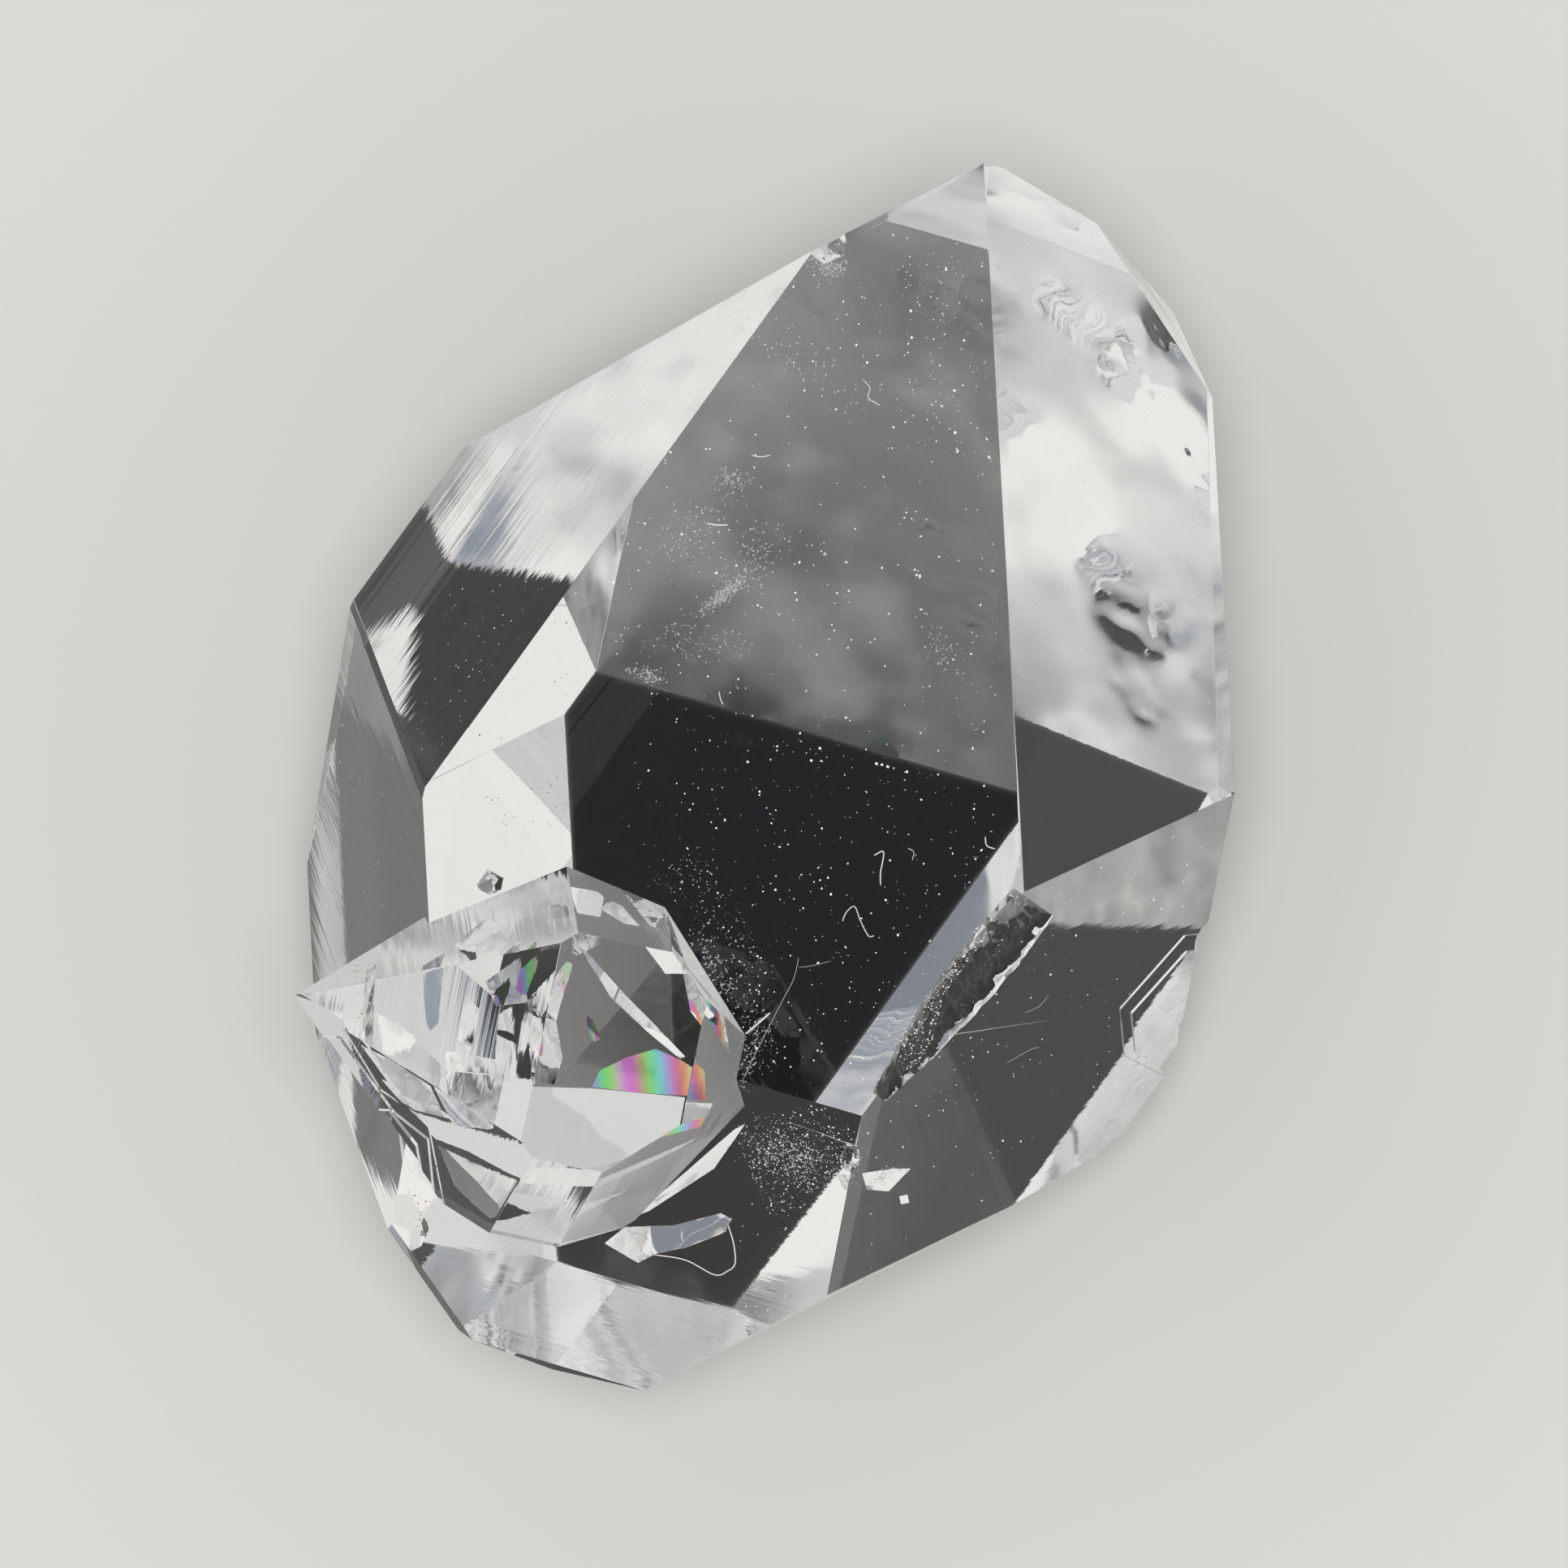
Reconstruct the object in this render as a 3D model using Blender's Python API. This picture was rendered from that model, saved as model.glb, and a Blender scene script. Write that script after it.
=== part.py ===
"""A herkimer diamond: a clear quartz crystal pointed at both ends, with a smaller one grown into its side.

It is one solid. It lies on a lower rhombohedral face, with the opposite face up. Lengths are in
millimetres until the finished mesh is scaled to metres. Each crystal is cut from a block by its
natural faces, which are named by the end they belong to and by the way they face around the
crystal's long axis.
"""
import math
import random

import bmesh
import bpy
from mathutils import Matrix, Vector

METRES = 0.001

# Quartz: the pointed ends' faces lean this far from the long axis.
END_FACE_LEAN = math.radians(51.79)

# How far each face stands from its crystal's centre, by its direction in degrees around the axis.
LARGE_UPPER = {0: 4.26, 60: 5.30, 120: 6.92, 180: 6.28, 240: 5.17, 300: 4.93}
LARGE_SIDE = {0: 5.58, 60: 5.04, 120: 4.38, 180: 3.53, 240: 4.06, 300: 5.08}
LARGE_LOWER = {0: 7.52, 60: 5.72, 120: 4.46, 180: 3.91, 240: 4.62, 300: 6.35}
SMALL_UPPER = {0: 2.61, 60: 2.22, 120: 2.40, 180: 2.40, 240: 2.40, 300: 2.41}
SMALL_SIDE = {0: 2.02, 60: 2.16, 120: 1.71, 180: 1.90, 240: 2.04, 300: 2.16}
SMALL_LOWER = {0: 1.69, 60: 1.69, 120: 1.69, 180: 1.69, 240: 1.69, 300: 1.69}

# The large crystal's axis points this way over the table. Its lean puts upper face 0 level.
LARGE_HEADING = math.radians(74.0)

# The small crystal's axis dips into the large one, and its centre lies just under the upper face.
SMALL_HEADING = math.radians(-10.9)
SMALL_DIP = math.radians(20.3)
SMALL_CENTRE = Vector((-2.61, -3.32, 3.64))

# Narrow growth faces that take the edge between two faces, with the depth taken off the edge.
LARGE_EDGE_FACES = (
    (("side", 0), ("lower", 300), 0.06),
    (("side", 0), ("lower", 0), 0.035),
    (("side", 300), ("upper", 300), 0.02),
)

# The large crystal's lower end is broken off by three overhanging surfaces: their heading, the dip
# of their outward direction and their distance.
BROKEN_END = (
    (math.radians(-64.0), math.radians(12.0), 5.53),
    (math.radians(-113.0), math.radians(28.5), 5.94),
    (math.radians(-100.0), math.radians(28.5), 5.86),
)

# The flute broken out of the edge between the level upper face and the side face at 60 degrees.
# It is an oval trough, widest at its first end. Its middle lies outside the face, so its walls slope.
FLUTE_FROM = Vector((3.30, -1.58, 4.26))
FLUTE_TO = Vector((1.66, -3.94, 4.26))
FLUTE_SHIFT = (0.34, 0.08)
FLUTE_HALF_WIDTH = (0.78, 0.40)
FLUTE_HALF_DEPTH = 0.38
FLUTE_LIFT = 0.16
FLUTE_ROUGHNESS = 0.04
FLUTE_STATIONS = 26
FLUTE_SIDES = 14

# Ledges sunk into a face: their corners seen from above, and the depth below the face.
LARGE_LEDGES = (
    (((4.93, -1.86), (4.19, -2.74), (4.18, -3.25), (4.60, -3.45), (5.60, -3.00), (5.60, -1.70)), 0.07),
    (((4.97, -2.06), (4.34, -2.80), (4.33, -3.22), (4.65, -3.45), (5.60, -3.00), (5.60, -1.90)), 0.15),
)
SMALL_LEDGES = (
    (((-4.85, -2.62), (-4.10, -3.92), (-3.52, -4.30), (-3.40, -5.60), (-5.60, -5.20), (-5.60, -2.50)), 0.06),
    (((-4.62, -3.35), (-4.02, -4.20), (-3.60, -4.52), (-3.62, -5.60), (-5.60, -5.20), (-5.60, -3.25)), 0.15),
    (((-4.15, -4.22), (-3.84, -4.62), (-3.78, -5.60), (-5.60, -5.40), (-5.60, -4.10)), 0.25),
)
LEDGE_REACH_OUT = 0.4

# Shell-shaped chips: centre, and half-size along X, Y and Z, on corners and edges.
CHIPS = (
    ((4.78, -3.90, -0.95), (0.62, 0.50, 0.80)),
    ((4.22, -4.50, -0.55), (0.60, 0.42, 0.60)),
    ((3.45, -4.90, -0.30), (0.58, 0.34, 0.55)),
    ((5.28, -1.95, 0.30), (0.30, 0.42, 0.80)),
    ((5.02, -3.05, -0.45), (0.34, 0.42, 0.70)),
    ((1.33, -4.74, 3.98), (0.20, 0.24, 0.26)),
    ((-0.30, 5.62, 3.72), (0.26, 0.20, 0.34)),
    ((0.12, 5.80, 3.95), (0.22, 0.17, 0.30)),
    ((1.00, 5.98, 4.32), (0.24, 0.26, 0.22)),
    ((3.02, 7.06, 4.20), (0.34, 0.22, 0.30)),
    ((-2.84, -1.50, 4.62), (0.26, 0.24, 0.46)),
)
CHIP_ROUGHNESS = 0.10
CHIP_FINENESS = 2

ROUGHNESS_SEED = 7

CLEAR_QUARTZ = (0.95, 0.96, 0.97, 1.0)
QUARTZ_INDEX = 1.544


def clear_scene():
    """Remove what the file opened with."""
    for leftover in list(bpy.data.objects):
        bpy.data.objects.remove(leftover, do_unlink=True)


def face_normal(end, direction):
    """The outward direction of a face, in the crystal's own axes."""
    turn = math.radians(direction)
    if end == "side":
        return Vector((math.cos(turn), math.sin(turn), 0.0))
    rise = math.cos(END_FACE_LEAN)
    if end == "lower":
        rise = -rise
    spread = math.sin(END_FACE_LEAN)
    return Vector((spread * math.cos(turn), spread * math.sin(turn), rise))


def crystal_faces(upper, side, lower):
    """Every face of a crystal, as its outward direction and its distance from the centre."""
    faces = {}
    for end, distances in (("upper", upper), ("side", side), ("lower", lower)):
        for direction, distance in distances.items():
            faces[(end, direction)] = (face_normal(end, direction), distance)
    return faces


def edge_face(faces, first, second, depth):
    """The narrow face that takes the edge between two faces."""
    normal_a, distance_a = faces[first]
    normal_b, distance_b = faces[second]
    middle = (normal_a + normal_b).normalized()
    edge_distance = (distance_a + distance_b) / (normal_a + normal_b).length
    return middle, edge_distance - depth


def cut_to_face(shape, normal, distance):
    """Cut away what lies outside one flat face and close the cut."""
    cut = bmesh.ops.bisect_plane(
        shape,
        geom=shape.verts[:] + shape.edges[:] + shape.faces[:],
        dist=1e-5,
        plane_co=normal * distance,
        plane_no=normal,
        clear_outer=True,
    )
    rim = [item for item in cut["geom_cut"] if isinstance(item, bmesh.types.BMEdge)]
    if rim:
        bmesh.ops.contextual_create(shape, geom=rim)


def link_object(name, shape):
    """Turn a bmesh into an object of the scene."""
    bmesh.ops.recalc_face_normals(shape, faces=shape.faces[:])
    mesh = bpy.data.meshes.new(name)
    shape.to_mesh(mesh)
    shape.free()
    made = bpy.data.objects.new(name, mesh)
    bpy.context.scene.collection.objects.link(made)
    return made


def broken_face(heading, dip, distance):
    """One surface of the broken end, as its outward direction and its distance."""
    level = math.cos(dip)
    normal = Vector((level * math.cos(heading), level * math.sin(heading), -math.sin(dip)))
    return normal, distance


def crystal(name, faces, edge_faces, placement, breaks=()):
    """A convex crystal, cut from a block by its faces, set in place and broken where it is broken."""
    shape = bmesh.new()
    bmesh.ops.create_cube(shape, size=40.0)
    planes = list(faces.values())
    for first, second, depth in edge_faces:
        planes.append(edge_face(faces, first, second, depth))
    for normal, distance in planes:
        cut_to_face(shape, normal, distance)
    bmesh.ops.dissolve_degenerate(shape, dist=1e-4, edges=shape.edges[:])
    bmesh.ops.transform(shape, matrix=placement, verts=shape.verts[:])
    for normal, distance in breaks:
        cut_to_face(shape, normal, distance)
    return link_object(name, shape)


def large_placement():
    """Stand the upper face at 0 level and turn the long axis to its heading."""
    level = Matrix.Rotation(-END_FACE_LEAN, 4, "Y")
    return Matrix.Rotation(LARGE_HEADING - math.pi, 4, "Z") @ level


def small_placement():
    """Lay the small crystal with its side face at 0 up and its axis dipping into the large one."""
    lay = Matrix.Rotation(-math.pi / 2 - SMALL_DIP, 4, "Y")
    turn = Matrix.Rotation(SMALL_HEADING + math.pi, 4, "Z")
    return Matrix.Translation(SMALL_CENTRE) @ turn @ lay


def combine(target, other, operation):
    """Join or cut one solid by another and keep the result."""
    modifier = target.modifiers.new(operation.lower(), "BOOLEAN")
    modifier.operation = operation
    modifier.solver = "EXACT"
    modifier.object = other
    bpy.context.view_layer.update()
    evaluated = target.evaluated_get(bpy.context.evaluated_depsgraph_get())
    result = bpy.data.meshes.new_from_object(evaluated)
    target.modifiers.clear()
    target.data = result
    bpy.data.objects.remove(other, do_unlink=True)


def flute_cutter(face, noise):
    """A rough oval rod along the broken edge, wide across the side face and shallow into it."""
    normal, _ = face
    run = FLUTE_TO - FLUTE_FROM
    along = run.normalized()
    across = along.cross(normal).normalized()
    if across.z > 0.0:
        across.negate()
    shape = bmesh.new()
    rings = []
    for station in range(FLUTE_STATIONS + 1):
        part = station / FLUTE_STATIONS
        swell = 0.55 + 0.45 * math.sin(math.pi * min(1.0, 0.16 + part * 0.80))
        shift = FLUTE_SHIFT[0] + (FLUTE_SHIFT[1] - FLUTE_SHIFT[0]) * part
        half_width = FLUTE_HALF_WIDTH[0] + (FLUTE_HALF_WIDTH[1] - FLUTE_HALF_WIDTH[0]) * part
        centre = FLUTE_FROM + run * part + across * shift + normal * FLUTE_LIFT
        ring = []
        for side in range(FLUTE_SIDES):
            turn = 2.0 * math.pi * side / FLUTE_SIDES
            rough = swell * (1.0 + FLUTE_ROUGHNESS * noise.uniform(-1.0, 1.0))
            offset = across * (half_width * rough * math.cos(turn))
            offset += normal * (FLUTE_HALF_DEPTH * rough * math.sin(turn))
            ring.append(shape.verts.new(centre + offset))
        rings.append(ring)
    for near, far in zip(rings, rings[1:]):
        for side in range(FLUTE_SIDES):
            after = (side + 1) % FLUTE_SIDES
            shape.faces.new((near[side], near[after], far[after]))
            shape.faces.new((near[side], far[after], far[side]))
    shape.faces.new(rings[0])
    shape.faces.new(rings[-1])
    bmesh.ops.triangulate(shape, faces=shape.faces[:])
    return link_object("flute_cutter", shape)


def ledge_cutter(corners, depth, face):
    """A straight-sided block that lowers part of a face by one growth step."""
    normal, distance = face
    shape = bmesh.new()
    lower = []
    upper = []
    for x, y in corners:
        z = (distance - normal.x * x - normal.y * y) / normal.z
        on_face = Vector((x, y, z))
        lower.append(shape.verts.new(on_face - normal * depth))
        upper.append(shape.verts.new(on_face + normal * LEDGE_REACH_OUT))
    shape.faces.new(lower)
    shape.faces.new(upper)
    for index in range(len(corners)):
        after = (index + 1) % len(corners)
        shape.faces.new((lower[index], lower[after], upper[after], upper[index]))
    return link_object("ledge_cutter", shape)


def chip_cutter(centre, half_sizes, noise):
    """A slightly uneven ball whose hollow is left where a shell-shaped chip broke off."""
    shape = bmesh.new()
    bmesh.ops.create_icosphere(shape, subdivisions=CHIP_FINENESS, radius=1.0)
    for vertex in shape.verts:
        vertex.co *= 1.0 + CHIP_ROUGHNESS * noise.uniform(-1.0, 1.0)
    for vertex in shape.verts:
        scaled = [along * size for along, size in zip(vertex.co, half_sizes)]
        vertex.co = Vector(scaled) + Vector(centre)
    return link_object("chip_cutter", shape)


def quartz_material():
    """Clear, colourless quartz."""
    material = bpy.data.materials.new("clear_quartz")
    material.use_nodes = True
    shader = material.node_tree.nodes["Principled BSDF"]
    shader.inputs["Base Color"].default_value = CLEAR_QUARTZ
    shader.inputs["Roughness"].default_value = 0.02
    shader.inputs["Metallic"].default_value = 0.0
    shader.inputs["IOR"].default_value = QUARTZ_INDEX
    shader.inputs["Transmission Weight"].default_value = 1.0
    return material


def placed_face(faces, key, placement):
    """A face's direction and its distance from the large crystal's centre, once it is in place."""
    normal, distance = faces[key]
    turned = placement.to_3x3() @ normal
    return turned, distance + turned.dot(placement.translation)


def settle(solid):
    """Put the face it rests on at height zero, centre it over the origin and scale it to metres."""
    corners = [vertex.co for vertex in solid.data.vertices]
    low = Vector([min(corner[axis] for corner in corners) for axis in range(3)])
    high = Vector([max(corner[axis] for corner in corners) for axis in range(3)])
    centre = (low + high) / 2.0
    to_origin = Matrix.Translation((-centre.x, -centre.y, -low.z))
    solid.data.transform(Matrix.Scale(METRES, 4) @ to_origin)


def main():
    clear_scene()
    noise = random.Random(ROUGHNESS_SEED)
    large_faces = crystal_faces(LARGE_UPPER, LARGE_SIDE, LARGE_LOWER)
    small_faces = crystal_faces(SMALL_UPPER, SMALL_SIDE, SMALL_LOWER)
    breaks = [broken_face(*values) for values in BROKEN_END]
    solid = crystal("quartz_crystal", large_faces, LARGE_EDGE_FACES, large_placement(), breaks)
    small = crystal("small_crystal", small_faces, (), small_placement())
    stepped_face = placed_face(small_faces, ("lower", 60), small_placement())
    for corners, depth in SMALL_LEDGES:
        combine(small, ledge_cutter(corners, depth, stepped_face), "DIFFERENCE")
    combine(solid, small, "UNION")

    damaged_face = placed_face(large_faces, ("side", 60), large_placement())
    combine(solid, flute_cutter(damaged_face, noise), "DIFFERENCE")
    for corners, depth in LARGE_LEDGES:
        combine(solid, ledge_cutter(corners, depth, damaged_face), "DIFFERENCE")
    for centre, half_sizes in CHIPS:
        combine(solid, chip_cutter(centre, half_sizes, noise), "DIFFERENCE")

    settle(solid)
    solid.data.materials.clear()
    solid.data.materials.append(quartz_material())


main()
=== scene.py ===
"""Looks for the herkimer diamond: clear quartz with growth lines, inner cracks, lint and dust.

Lengths are in metres, written as millimetres times MM. Places on the crystal are given as pixels of
the photograph, and each is carried by the face that the photograph shows there.
"""
import math
import random

import bmesh
import bpy
from mathutils import Matrix, Vector, noise
from mathutils.bvhtree import BVHTree


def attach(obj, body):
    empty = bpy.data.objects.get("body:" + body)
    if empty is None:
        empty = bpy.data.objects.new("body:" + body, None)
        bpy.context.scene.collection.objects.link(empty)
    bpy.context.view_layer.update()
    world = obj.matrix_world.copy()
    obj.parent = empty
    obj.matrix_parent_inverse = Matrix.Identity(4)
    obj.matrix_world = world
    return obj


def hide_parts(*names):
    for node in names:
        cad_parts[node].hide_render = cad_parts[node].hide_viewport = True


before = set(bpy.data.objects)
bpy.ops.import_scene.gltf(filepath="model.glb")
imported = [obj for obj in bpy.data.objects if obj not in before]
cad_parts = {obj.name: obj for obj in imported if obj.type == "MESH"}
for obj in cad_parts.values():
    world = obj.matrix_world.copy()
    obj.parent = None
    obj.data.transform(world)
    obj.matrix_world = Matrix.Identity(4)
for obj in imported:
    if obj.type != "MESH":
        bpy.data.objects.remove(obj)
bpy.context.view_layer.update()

MM = 0.001
BODY = "root"
NODE = "quartz_crystal"
QUARTZ_INDEX = 1.544

# Camera: the photograph looks down on the level face, a little from the right and from the front.
CAMERA_TARGET = Vector((0.128, 0.1685, 3.90)) * MM
CAMERA_DIRECTION = Vector((0.1183, -0.0787, 0.9898)).normalized()
PHOTO_UP = Vector((0.0, 0.9968, 0.0793))
CAMERA_RIGHT = PHOTO_UP.cross(CAMERA_DIRECTION).normalized()
CAMERA_UP = CAMERA_DIRECTION.cross(CAMERA_RIGHT)
CAMERA_DISTANCE = 200 * MM
CAMERA_PLACE = CAMERA_TARGET + CAMERA_DIRECTION * CAMERA_DISTANCE
FRAME_WIDTH = 18.59 * MM
SENSOR_WIDTH = 36.0
PHOTO_WIDTH = 1932
PIXEL = FRAME_WIDTH / PHOTO_WIDTH

# The tent: bright from the table up, dark overhead, with dimmer and brighter patches. Its light fades
# between two heights, as the upward part of a direction. A patch is its heading, its height and its
# half-width in degrees, and its light.
TENT_LIGHT = (0.88, 0.86, 0.82)
TENT_TOP = (0.012, 0.013, 0.016)
TENT_EDGE = (0.78, 0.90)
TENT_PATCHES = (
    (-135, 60, 15, (0.66, 0.65, 0.62)),
    (87, 38, 13, (0.27, 0.30, 0.35)),
    (26, 46, 13, (0.23, 0.26, 0.31)),
    (145, 30, 11, (0.19, 0.21, 0.25)),
    (-75, 12, 13, (0.62, 0.62, 0.61)),
    (146, 82, 6, (0.22, 0.22, 0.25)),
)
PATCH_SOFTNESS = 0.4

# The lamp over the table lights it from the camera's side, so the shadow lies under the crystal.
LAMP_STRENGTH = 2.0
LAMP_TINT = (1.0, 0.995, 0.98)
LAMP_ANGLE = math.radians(16)

FLOOR_DROP = 0.01 * MM
FLOOR_SIZE = 600 * MM
FLOOR_TONE = (0.60, 0.60, 0.59, 1.0)
FLOOR_ROUGHNESS = 0.9
FLOOR_SHINE = 0.1

# How the crystals stand, as in the solid: the lean of the end faces, the ways that the axes point in
# degrees, and the turns that follow.
END_FACE_LEAN = math.radians(51.79)
LARGE_HEADING = 74.0
SMALL_HEADING = -10.9
SMALL_DIP = 20.3
LARGE_TURN = (
    Matrix.Rotation(math.radians(LARGE_HEADING - 180.0), 3, "Z")
    @ Matrix.Rotation(-END_FACE_LEAN, 3, "Y")
)
SMALL_TURN = (
    Matrix.Rotation(math.radians(SMALL_HEADING + 180.0), 3, "Z")
    @ Matrix.Rotation(math.radians(-90.0 - SMALL_DIP), 3, "Y")
)

# Growth lines: the face, the face whose shared edge they run along, and how strong they are.
GROWTH_LINES = (
    (LARGE_TURN, ("upper", 300), ("upper", 0), 1.0),
    (LARGE_TURN, ("upper", 240), ("side", 240), 0.5),
    (LARGE_TURN, ("side", 60), ("upper", 60), 0.30),
    (LARGE_TURN, ("side", 0), ("upper", 0), 0.35),
    (LARGE_TURN, ("side", 300), ("upper", 300), 0.8),
    (LARGE_TURN, ("upper", 60), ("side", 60), 0.06),
    (LARGE_TURN, ("upper", 0), ("side", 0), 0.03),
    (SMALL_TURN, ("lower", 0), ("side", 0), 1.6),
    (SMALL_TURN, ("lower", 300), ("side", 300), 0.8),
    (SMALL_TURN, ("lower", 60), ("side", 60), 0.9),
    (SMALL_TURN, ("upper", 0), ("side", 0), 0.7),
    (SMALL_TURN, ("upper", 60), ("side", 60), 0.9),
    (SMALL_TURN, ("upper", 300), ("side", 300), 0.8),
    (SMALL_TURN, ("side", 60), ("upper", 60), 0.9),
)
# Faces that are etched and cloudy, with how cloudy they are.
CLOUDY_FACES = (
    (LARGE_TURN, ("side", 180), 1.0),
    (LARGE_TURN, ("upper", 180), 0.5),
    (LARGE_TURN, ("lower", 120), 0.3),
)
# Directions this close are one face. Rims sharper than this stay sharp on a smooth piece.
SAME_FACE = math.radians(1.5)
SHARP_RIM = math.radians(50)

# The clear quartz. Its relief is growth lines, faint waves and etched pits, each with the fineness of
# its pattern and how high it stands beside the lines. Its absorption is by the metre.
QUARTZ_TINT = (0.985, 0.99, 1.0, 1.0)
LINE_SCALE = 6.0
LINE_DETAIL = 5.0
WAVE_SCALE = 420.0
WAVE_HEIGHT = 1.3
CLOUD_SCALE = 650.0
CLOUD_DETAIL = 2.0
PIT_HEIGHT = 3.5
RELIEF_HEIGHT = 0.006 * MM
FROST_RANGE = (0.40, 0.75)
FROST_ROUGHNESS = 0.40
ABSORPTION_TINT = (0.40, 0.50, 0.55, 1.0)
ABSORPTION_DENSITY = 6.0

# Shape of the visible crystal: which faces count as flat or as broken, the wear on its edges, and the
# coarse and fine ripple of its breaks, which lies a little under the solid's surface.
FLAT_FACE_AREA = 0.25 * MM * MM
ROUGH_FACE_AREA = 0.12 * MM * MM
WORN_EDGE_ANGLE = math.radians(12)
WORN_EDGE_LENGTH = 0.4 * MM
WORN_EDGE_WIDTH = 0.013 * MM
BREAK_RIPPLE = 0.022 * MM
BREAK_GRAIN = 0.09 * MM
BREAK_ROUNDS = 2
BREAK_FINENESS = 2.3
BREAK_FINE_SHARE = 0.5
BREAK_SINK = 0.8
JOIN_DISTANCE = 0.0001 * MM
ONE_FACE_ANGLE = math.radians(0.4)

# Grains on the faces, of three colours: a region's corners in the photograph, how many grains, and
# their least and greatest radius in millimetres.
PALE_GRAINS = (
    (((800, 840), (1235, 975), (1215, 1080), (1060, 1340), (930, 1330), (880, 1150), (740, 1060)),
     420, (0.004, 0.016)),
    (((960, 300), (1215, 280), (1235, 960), (760, 830), (640, 820), (900, 420)), 560, (0.004, 0.015)),
    (((1100, 290), (1210, 300), (1225, 600), (1130, 560)), 140, (0.005, 0.018)),
    (((1240, 300), (1480, 480), (1500, 960), (1245, 960)), 60, (0.003, 0.008)),
    (((1230, 1100), (1490, 1010), (1440, 1390), (1060, 1570), (1080, 1400)), 260, (0.004, 0.014)),
    (((930, 1360), (1080, 1390), (1010, 1560), (860, 1700), (900, 1600)), 160, (0.003, 0.012)),
    (((905, 1400), (1010, 1355), (1060, 1400), (1040, 1470), (950, 1500)), 520, (0.003, 0.012)),
    (((560, 700), (700, 720), (530, 940), (505, 900)), 60, (0.004, 0.010)),
    (((1122, 700), (1136, 702), (1134, 712), (1124, 710)), 6, (0.012, 0.030)),
    (((1008, 674), (1018, 674), (1018, 684), (1008, 684)), 3, (0.010, 0.020)),
    (((1080, 935), (1096, 935), (1096, 945), (1080, 945)), 4, (0.010, 0.022)),
    (((400, 780), (500, 960), (470, 1140), (385, 1140)), 70, (0.003, 0.008)),
    (((860, 1040), (960, 1200), (960, 1320), (925, 1320), (860, 1140), (800, 1080)), 320, (0.003, 0.010)),
    (((1222, 1146), (1206, 1138), (1096, 1290), (1118, 1326), (1146, 1290), (1164, 1222)),
     560, (0.003, 0.013)),
)
DARK_GRAINS = (
    (((590, 965), (700, 955), (715, 1030), (620, 1045)), 90, (0.003, 0.009)),
    (((560, 880), (600, 840), (690, 820), (760, 850), (700, 900), (600, 930)), 14, (0.003, 0.008)),
    (((1250, 480), (1480, 500), (1490, 800), (1260, 900)), 14, (0.003, 0.008)),
)
BROWN_GRAINS = (
    (((503, 1468), (528, 1480), (534, 1530), (510, 1518)), 30, (0.004, 0.014)),
    (((436, 1180), (446, 1180), (450, 1260), (438, 1262)), 26, (0.004, 0.010)),
    (((1130, 330), (1145, 330), (1145, 365), (1128, 360)), 5, (0.005, 0.010)),
    (((1020, 1120), (1026, 1122), (1026, 1130), (1020, 1129)), 3, (0.006, 0.012)),
)
# The middle of a grain stands this share of its radius above the face, and its sides differ this much.
GRAIN_STAND = 0.4
GRAIN_UNEVENNESS = 0.4
GRAIN_ROUGHNESS = 0.9
PALE_DUST = (0.93, 0.92, 0.90)
DARK_DUST = (0.05, 0.045, 0.04)
BROWN_DUST = (0.36, 0.20, 0.07)

# Lint on the faces, with its radius in millimetres and the pixels it runs through.
LINT = (
    (0.005, ((1063, 468), (1072, 478), (1070, 490), (1085, 500))),
    (0.006, ((926, 561), (938, 563), (949, 561))),
    (0.009, ((871, 645), (884, 647), (897, 647))),
    (0.007, ((1077, 1054), (1088, 1049), (1088, 1060), (1085, 1075), (1085, 1091))),
    (0.006, ((1038, 1135), (1043, 1124), (1053, 1117), (1060, 1134), (1070, 1153), (1077, 1153))),
    (0.007, ((1214, 1031), (1216, 1042), (1226, 1046))),
    (0.004, ((1119, 1045), (1126, 1050), (1124, 1060))),
    (0.012, ((919, 1274), (933, 1262), (949, 1248))),
    (0.0022, ((984, 1180), (978, 1206), (964, 1233), (935, 1290), (915, 1331))),
    (0.0018, ((984, 1192), (1000, 1190), (1024, 1184))),
    (0.008, ((804, 1545), (845, 1552), (880, 1570), (896, 1566), (906, 1556), (904, 1531), (897, 1508))),
    (0.002, ((1262, 1248), (1280, 1240), (1292, 1226))),
    (0.002, ((1240, 1310), (1268, 1294), (1280, 1290))),
    (0.006, ((886, 852), (888, 862), (891, 868))),
)
LINT_SIDES = 6
LINT_STEPS = 5
LINT_END = 0.55
LINT_COLOUR = (0.70, 0.69, 0.66, 1.0)
LINT_ROUGHNESS = 0.8

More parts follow.
